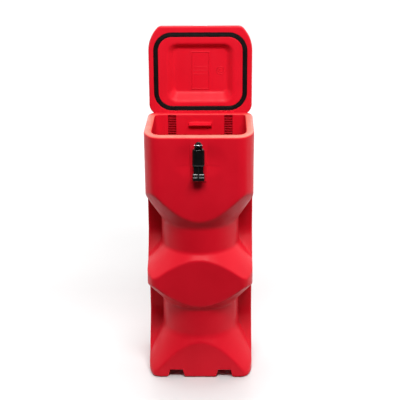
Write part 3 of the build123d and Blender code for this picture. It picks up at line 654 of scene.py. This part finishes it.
def screw_field(x, y, z):
    """A pan head with a cross recess, at the left screw's place."""
    face = FRONT_Y + 7.5
    u, w = x + 8.0, z - LID_LOW - 13.0
    away = np.hypot(u, w)
    dome = np.hypot(away, y - face - 3.0) - 4.2
    head = np.maximum(soft_max(away - 2.9, dome, 0.5), np.maximum(y - face, face - 1.25 - y))
    slot_half, slot_reach = 0.4, 1.6
    cross = np.minimum(np.maximum(np.abs(u) - slot_half, np.abs(w) - slot_reach),
                       np.maximum(np.abs(w) - slot_half, np.abs(u) - slot_reach))
    head = np.maximum(head, -np.maximum(cross, y - face + 0.35))
    return np.minimum(head, np.maximum(away - 1.6, slab(y, face - 0.2, face + 9)))


def insert_field(x, y, z):
    """A flanged brass insert with a modelled thread, at the first insert's place."""
    u, w = x - INSERTS[0][0], z - INSERTS[0][1]
    away = np.hypot(u, w)
    twist = np.mod(y + np.arctan2(w, u) / (2 * math.pi), 1.0)
    thread = away - 2.9 - 0.45 * np.abs(twist - 0.5)
    body = np.maximum(away - 5.0, slab(y, BACK_Y - 12, BACK_Y - 0.5))
    flange = soft_max(away - 7.0, slab(y, BACK_Y - 1, BACK_Y), 0.4)
    return np.maximum(np.minimum(body, flange), -np.maximum(thread, BACK_Y - 11 - y))


def cap_field(sign):
    """The push-on cap over a hinge pin's outer end."""
    near = HINGE_X + HINGE_HALF

    def field(x, y, z):
        away = np.hypot(y - HINGE_Y, z - HINGE_Z)
        return soft_max(away - 4.2, slab(sign * x, near, near + 4.2), 1.6)
    return field


# ---- materials ----

def new_material(name):
    material = bpy.data.materials.new(name)
    material.use_nodes = True
    tree = material.node_tree
    return material, tree, tree.nodes["Principled BSDF"]


def noise(tree, scale, detail=3.0, stretch=None):
    """Noise in object space, scale in features per metre."""
    coords = tree.nodes.get("coords")
    if coords is None:
        coords = tree.nodes.new("ShaderNodeTexCoord")
        coords.name = "coords"
    place = coords.outputs["Object"]
    if stretch is not None:
        mapping = tree.nodes.new("ShaderNodeMapping")
        mapping.inputs["Scale"].default_value = stretch
        tree.links.new(place, mapping.inputs["Vector"])
        place = mapping.outputs["Vector"]
    node = tree.nodes.new("ShaderNodeTexNoise")
    node.inputs["Scale"].default_value = scale
    node.inputs["Detail"].default_value = detail
    tree.links.new(place, node.inputs["Vector"])
    return node.outputs["Fac"]


def ramp(tree, source, low, high, at=(0.35, 0.65)):
    """Maps a value onto a run between two greys or two colours."""
    node = tree.nodes.new("ShaderNodeValToRGB")
    for stop, position, value in zip(node.color_ramp.elements, at, (low, high)):
        stop.position = position
        stop.color = (*value, 1) if isinstance(value, tuple) else (value, value, value, 1)
    tree.links.new(source, node.inputs["Fac"])
    return node.outputs["Color"]


def blended(tree, share, first, second):
    """Mixes two colour sockets or colours by a share socket."""
    node = tree.nodes.new("ShaderNodeMix")
    node.data_type = "RGBA"
    tree.links.new(share, node.inputs["Factor"])
    for name, value in (("A", first), ("B", second)):
        socket = next(s for s in node.inputs if s.name == name and s.type == "RGBA")
        if isinstance(value, tuple):
            socket.default_value = (*value, 1)
        else:
            tree.links.new(value, socket)
    return next(s for s in node.outputs if s.type == "RGBA")


def bumps(tree, shader, layers):
    """Chains bump nodes, each from (height socket, strength, depth in millimetres)."""
    normal = None
    for height, strength, depth in layers:
        node = tree.nodes.new("ShaderNodeBump")
        node.inputs["Strength"].default_value = strength
        node.inputs["Distance"].default_value = depth * MM
        tree.links.new(height, node.inputs["Height"])
        if normal is not None:
            tree.links.new(normal, node.inputs["Normal"])
        normal = node.outputs["Normal"]
    tree.links.new(normal, shader.inputs["Normal"])


def worn_edges(tree, low, high):
    """1 on sharp outer edges, from the mesh's own shape."""
    geometry = tree.nodes.new("ShaderNodeNewGeometry")
    return ramp(tree, geometry.outputs["Pointiness"], 0.0, 1.0, (low, high))


def between(tree, axis_name, low, high):
    """0 below low and 1 above high along one axis of the piece, in metres."""
    parts = tree.nodes.get("parts")
    if parts is None:
        parts = tree.nodes.new("ShaderNodeSeparateXYZ")
        parts.name = "parts"
        tree.links.new(tree.nodes["coords"].outputs["Object"], parts.inputs["Vector"])
    node = tree.nodes.new("ShaderNodeMapRange")
    node.inputs["From Min"].default_value = low
    node.inputs["From Max"].default_value = high
    tree.links.new(parts.outputs[axis_name], node.inputs["Value"])
    return node.outputs["Result"]


def product(tree, first, second):
    node = tree.nodes.new("ShaderNodeMath")
    node.operation = "MULTIPLY"
    tree.links.new(first, node.inputs[0])
    tree.links.new(second, node.inputs[1])
    return node.outputs[0]


def rim_glare_and_wear(tree, colour):
    """A paler colour on top of the rim, at its front and sides: a painted reflection of glare there, with some
    wear in it.
    """
    on_top = between(tree, "Z", (HEIGHT - 3.0) * MM, (HEIGHT - 1.0) * MM)
    off_rear = between(tree, "Y", (BACK_Y - 14.0) * MM, (BACK_Y - 30.0) * MM)
    patchy = ramp(tree, noise(tree, 30.0, 5.0), 0.75, 1.0, (0.3, 0.6))
    return blended(tree, product(tree, product(tree, on_top, off_rear), patchy), colour, RIM_GLARE_AND_WEAR)


def painted_ladder_shade(tree, colour):
    """Painted shade: a darker colour in the two columns of pockets inside the back wall, for the shade deep in the
    pockets.
    """
    wall = BACK_Y - RIM_REAR
    side = tree.nodes.new("ShaderNodeMath")
    side.operation = "ABSOLUTE"
    tree.links.new(tree.nodes["parts"].outputs["X"], side.inputs[0])
    in_column = tree.nodes.new("ShaderNodeMath")
    in_column.operation = "COMPARE"
    in_column.inputs[1].default_value = LADDER_X * MM
    in_column.inputs[2].default_value = LADDER_HALF * MM
    tree.links.new(side.outputs[0], in_column.inputs[0])
    share = in_column.outputs[0]
    for axis_name, low, high in (("Y", wall - 0.5, wall + 0.5), ("Y", wall + 12.0, wall + 11.0),
                                 ("Z", LADDER_FOOT - 1.0, LADDER_FOOT + 1.0),
                                 ("Z", LADDER_TOP + 1.0, LADDER_TOP)):
        share = product(tree, share, between(tree, axis_name, low * MM, high * MM))
    return blended(tree, share, colour, PAINTED_SHADE)


def red_plastic(name, shell=False):
    """Moulded polyethylene: fine grain, slight orange peel, faint drift of colour."""
    material, tree, shader = new_material(name)
    colour = ramp(tree, noise(tree, 7.0, 4.0), (0.57, 0.0045, 0.015), (0.64, 0.0060, 0.019))
    scuffed = ramp(tree, noise(tree, 45.0, 6.0), 0.0, 0.35, (0.5, 0.8))
    edge = product(tree, worn_edges(tree, 0.52, 0.62), scuffed)
    colour = blended(tree, edge, colour, (0.80, 0.05, 0.06))
    if shell:
        # the shell also gets a painted reflection on the rim top and painted shade in the ladder pockets
        colour = painted_ladder_shade(tree, rim_glare_and_wear(tree, colour))
    tree.links.new(colour, shader.inputs["Base Color"])
    streaks = noise(tree, 60.0, 4.0, (1.0, 1.0, 0.12))
    tree.links.new(ramp(tree, streaks, 0.38, 0.50), shader.inputs["Roughness"])
    shader.inputs["IOR"].default_value = 1.5
    shader.inputs["Specular IOR Level"].default_value = 0.12
    bumps(tree, shader, [(noise(tree, 110.0, 2.0), 0.20, 0.5), (noise(tree, 950.0, 2.0), 0.30, 0.2)])
    return material


def small_part(name, low, high, rough, grain, depth, metallic=0.0, level=0.5):
    """A small part's finish, with a little drift in colour and roughness."""
    material, tree, shader = new_material(name)
    tree.links.new(ramp(tree, noise(tree, 60.0), low, high), shader.inputs["Base Color"])
    tree.links.new(ramp(tree, noise(tree, 260.0), *rough), shader.inputs["Roughness"])
    shader.inputs["Metallic"].default_value = metallic
    shader.inputs["Specular IOR Level"].default_value = level
    bumps(tree, shader, [(noise(tree, grain, 2.0), 0.4, depth)])
    return material


def seal_rubber():
    """Extruded rubber: matt, with a skin of fine pores and dust in its grooves."""
    material, tree, shader = new_material("seal_rubber")
    dust = ramp(tree, noise(tree, 38.0, 5.0), 0.0, 0.35, (0.45, 0.8))
    black = ramp(tree, noise(tree, 90.0), (0.0012,) * 3, (0.0030,) * 3)
    tree.links.new(blended(tree, dust, black, (0.008, 0.006, 0.006)), shader.inputs["Base Color"])
    tree.links.new(ramp(tree, noise(tree, 150.0), 0.5, 0.7), shader.inputs["Roughness"])
    shader.inputs["Specular IOR Level"].default_value = 0.12
    bumps(tree, shader, [(noise(tree, 2200.0, 2.0), 0.5, 0.1), (noise(tree, 300.0, 2.0), 0.2, 0.2)])
    return material


# paler rim top: painted reflection of glare, with some wear
RIM_GLARE_AND_WEAR = (0.80, 0.17, 0.13)
# painted shade in the ladder pockets
PAINTED_SHADE = (0.36, 0.001, 0.008)
RED = red_plastic("red_plastic")
# red plastic with a painted rim reflection and painted shade in the ladder pockets
SHELL_RED = red_plastic("red_plastic_painted_glare_and_shade", shell=True)
SEAL = seal_rubber()
NYLON = small_part("black_nylon", (0.0030,) * 3, (0.0055,) * 3, (0.10, 0.20), 1500.0, 0.02)
CAP = small_part("cap_plastic", (0.010,) * 3, (0.018,) * 3, (0.35, 0.5), 1500.0, 0.05)
WIRE = small_part("coated_wire", (0.003,) * 3, (0.006,) * 3, (0.32, 0.45), 1500.0, 0.02, level=0.3)
ZINC = small_part("zinc_steel", (0.60, 0.61, 0.62), (0.75, 0.76, 0.77),
                  (0.18, 0.32), 1200.0, 0.03, 1.0)
PIN_ZINC = small_part("dark_zinc", (0.16, 0.16, 0.17), (0.24, 0.24, 0.25),
                      (0.16, 0.26), 1200.0, 0.03, 1.0)
BRASS = small_part("brass", (0.60, 0.42, 0.16), (0.72, 0.52, 0.22), (0.22, 0.38), 1200.0, 0.03, 1.0)

for node_name, finish in (("hinge_pin_left", ZINC), ("hinge_pin_right", ZINC), ("rivet_washers", ZINC),
                          ("lever_pin", PIN_ZINC), ("lever_ring", PIN_ZINC)):
    kept = frame["nodes"][node_name].data
    kept.materials.clear()
    kept.materials.append(finish)

# ---- the pieces ----

shell_axes = [
    axis(-HALF_X - 5, 2.5, -85, 1.25, -55, 2.5, -27.5, 1.25, 27.5, 2.5, 55, 1.25, 85, 2.5, HALF_X + 5),
    axis(FRONT_Y - 5, 1.25, FRONT_Y + 30, 2.5, BACK_Y - 36, 1.25, shell_high[1] + 3.75),
    axis(-5.0, 2.5, HEIGHT - 115, 1.25, HEIGHT - 65, 1.0, HEIGHT + 5),
]
moulded("shell_moulding", shell_field, shell_axes, SHELL_RED, "body_shell", thin=0.30)
RECESS_FLOOR = LID_LOW + RECESS_DEPTH
lid_axes = [
    axis(-HALF_X - 3, 2.0, -83, 1.2, -24, 0.5, -20, 1.2, 20, 0.5, 24, 1.2, 38, 0.5, 59, 1.2,
         83, 2.0, HALF_X + 3),
    axis(FRONT_Y - 3, 1.25, -48, 0.5, -44, 1.25, -10, 0.5, 10, 1.25, 44, 0.5, 48, 1.25, BACK_Y + 17),
    axis(HINGE_Z - 9, 1.5, LID_LOW - 2, 1.0, RECESS_FLOOR - 2, 0.5, RECESS_FLOOR + 1, 1.0,
         LID_HIGH + 3),
]
moulded("lid_moulding", lid_field, lid_axes, RED, "lid_shell", thin=0.35)
seal_piece(SEAL)

plate_grid = even_grid((-8.4, FRONT_Y - 11.6, PIN_Z - 79), (8.4, FRONT_Y, PIN_Z + 7.6), 0.5)
moulded("latch_plate", latch_base_field, plate_grid, NYLON, "latch_base", thin=0.5)
lever_grid = even_grid(*corners("latch_lever"), 0.45)
moulded("latch_handle", lever_field, lever_grid, NYLON, "latch_lever", thin=0.5)
bail_piece(WIRE)
rivet_grid = even_grid(*corners("latch_rivets"), 0.5)
moulded("rivet_heads", rivet_field, rivet_grid, ZINC, "latch_rivets")

vent_grid = even_grid((-5.1, BACK_Y - 8, VENT_Z - 5.1), (5.1, BACK_Y + 1.2, VENT_Z + 5.1), 0.4)
moulded("vent_button", vent_field, vent_grid, CAP, "vent_plug")
strike_grid = even_grid((-14.5, FRONT_Y + 1, LID_LOW + 3), (14.5, FRONT_Y + 9, LID_LOW + 18), 0.4)
moulded("strike_angle", strike_field, strike_grid, NYLON, "strike_plate", thin=0.4)
screw_grid = even_grid((-10.9, FRONT_Y + 6, LID_LOW + 10), (-5.1, FRONT_Y + 16.5, LID_LOW + 16), 0.2)
moulded("strike_screw_heads", screw_field, screw_grid, ZINC, "strike_screws",
        thin=0.3, copies=((0, 0, 0), (16, 0, 0)))
first_x, first_z = INSERTS[0]
insert_grid = even_grid((first_x - 7, BACK_Y - 12, first_z - 7), (first_x + 7, BACK_Y, first_z + 7), 0.35)
moulded("threaded_inserts", insert_field, insert_grid, BRASS, "mount_inserts",
        thin=0.4, copies=[(x - first_x, 0, z - first_z) for x, z in INSERTS])
for side, sign in (("left", -1), ("right", 1)):
    cap_grid = even_grid(*corners(f"pin_cap_{side}"), 0.4)
    moulded(f"domed_cap_{side}", cap_field(sign), cap_grid, CAP, f"pin_cap_{side}")

# ---- floor, light and camera ----

FLOOR_Y = 4.0                    # middle of the floor, in metres
DARK_IN_FRONT = (-0.36, -0.21)   # the floor turns from nearly black to white between these
WHITE_BEHIND = (0.4, 1.6)        # and to a brighter white between these


def floor_material():
    """Studio paper: white in the camera's view, nearly black ahead of it.

    The dark part only lessens the light thrown up on the lower front. It is outside the
    main view, and it shows in views from other sides.
    """
    material, tree, shader = new_material("studio_paper")
    paper = ramp(tree, noise(tree, 3.0), (0.62,) * 3, (0.64,) * 3)
    behind, front = (between(tree, "Y", low - FLOOR_Y, high - FLOOR_Y)
                     for low, high in (WHITE_BEHIND, DARK_IN_FRONT))
    white = blended(tree, behind, paper, (0.95, 0.95, 0.95))
    tree.links.new(blended(tree, front, (0.02, 0.02, 0.02), white), shader.inputs["Base Color"])
    shader.inputs["Roughness"].default_value = 0.45
    return material


bpy.ops.mesh.primitive_plane_add(size=24.0, location=(0, FLOOR_Y, -0.0005))
floor = bpy.context.object
floor.name = "studio_floor"
floor.data.materials.append(floor_material())


def studio_world():
    """White light all round, bright behind the object and dim on its front side."""
    world = bpy.data.worlds.new("studio")
    bpy.context.scene.world = world
    world.use_nodes = True
    tree = world.node_tree
    coords = tree.nodes.new("ShaderNodeTexCoord")
    parts = tree.nodes.new("ShaderNodeSeparateXYZ")
    tree.links.new(coords.outputs["Generated"], parts.inputs["Vector"])
    spread = tree.nodes.new("ShaderNodeMapRange")
    spread.interpolation_type = "SMOOTHSTEP"
    for name, value in (("From Min", -0.30), ("From Max", 0.75),
                        ("To Min", WORLD_FRONT), ("To Max", WORLD_BACK)):
        spread.inputs[name].default_value = value
    tree.links.new(parts.outputs["Y"], spread.inputs["Value"])
    tree.links.new(spread.outputs["Result"], tree.nodes["Background"].inputs["Strength"])
    tree.nodes["Background"].inputs["Color"].default_value = (1, 1, 1, 1)


WORLD_FRONT, WORLD_BACK = 0.05, 2.2
studio_world()


def softbox(name, place, target, size, power):
    """A rectangular light, turned to face its target."""
    light = bpy.data.lights.new(name, "AREA")
    light.shape = "RECTANGLE"
    light.size, light.size_y = size
    light.energy = power
    holder = bpy.data.objects.new(name, light)
    holder.location = place
    aim = Vector(target) - Vector(place)
    holder.rotation_euler = aim.to_track_quat("-Z", "Y").to_euler()
    bpy.context.scene.collection.objects.link(holder)


softbox("front_strip", (0.2, -1.1, 1.9), (0, 0, 0.6), (1.2, 0.5), 46.0)
softbox("right_box", (1.7, -0.25, 1.4), (0, 0, 0.55), (0.6, 1.0), 8.0)
softbox("left_box", (-1.7, -0.15, 1.4), (0, 0, 0.55), (0.6, 1.0), 4.0)


CAMERA_PLACE = (0.0513, -2.2360, 1.2358)
CAMERA_TURN = (1.31, 19.97, -0.44)   # azimuth, pitch and roll, in degrees


def set_camera():
    data = bpy.data.cameras.new("camera")
    data.sensor_width = 36.0
    data.lens = 90.24
    camera = bpy.data.objects.new("camera", data)
    azimuth, pitch, roll = (math.radians(v) for v in CAMERA_TURN)
    level = math.cos(pitch)
    back = Vector((math.sin(azimuth) * level, -math.cos(azimuth) * level, math.sin(pitch)))
    right = Vector((math.cos(azimuth), math.sin(azimuth), 0))
    up = back.cross(right)
    right, up = (right * math.cos(roll) + up * math.sin(roll),
                 up * math.cos(roll) - right * math.sin(roll))
    turn = Matrix((right, up, back)).transposed().to_4x4()
    camera.matrix_world = Matrix.Translation(CAMERA_PLACE) @ turn
    bpy.context.scene.collection.objects.link(camera)
    bpy.context.scene.camera = camera


set_camera()
bpy.context.scene.view_settings.view_transform = "Standard"
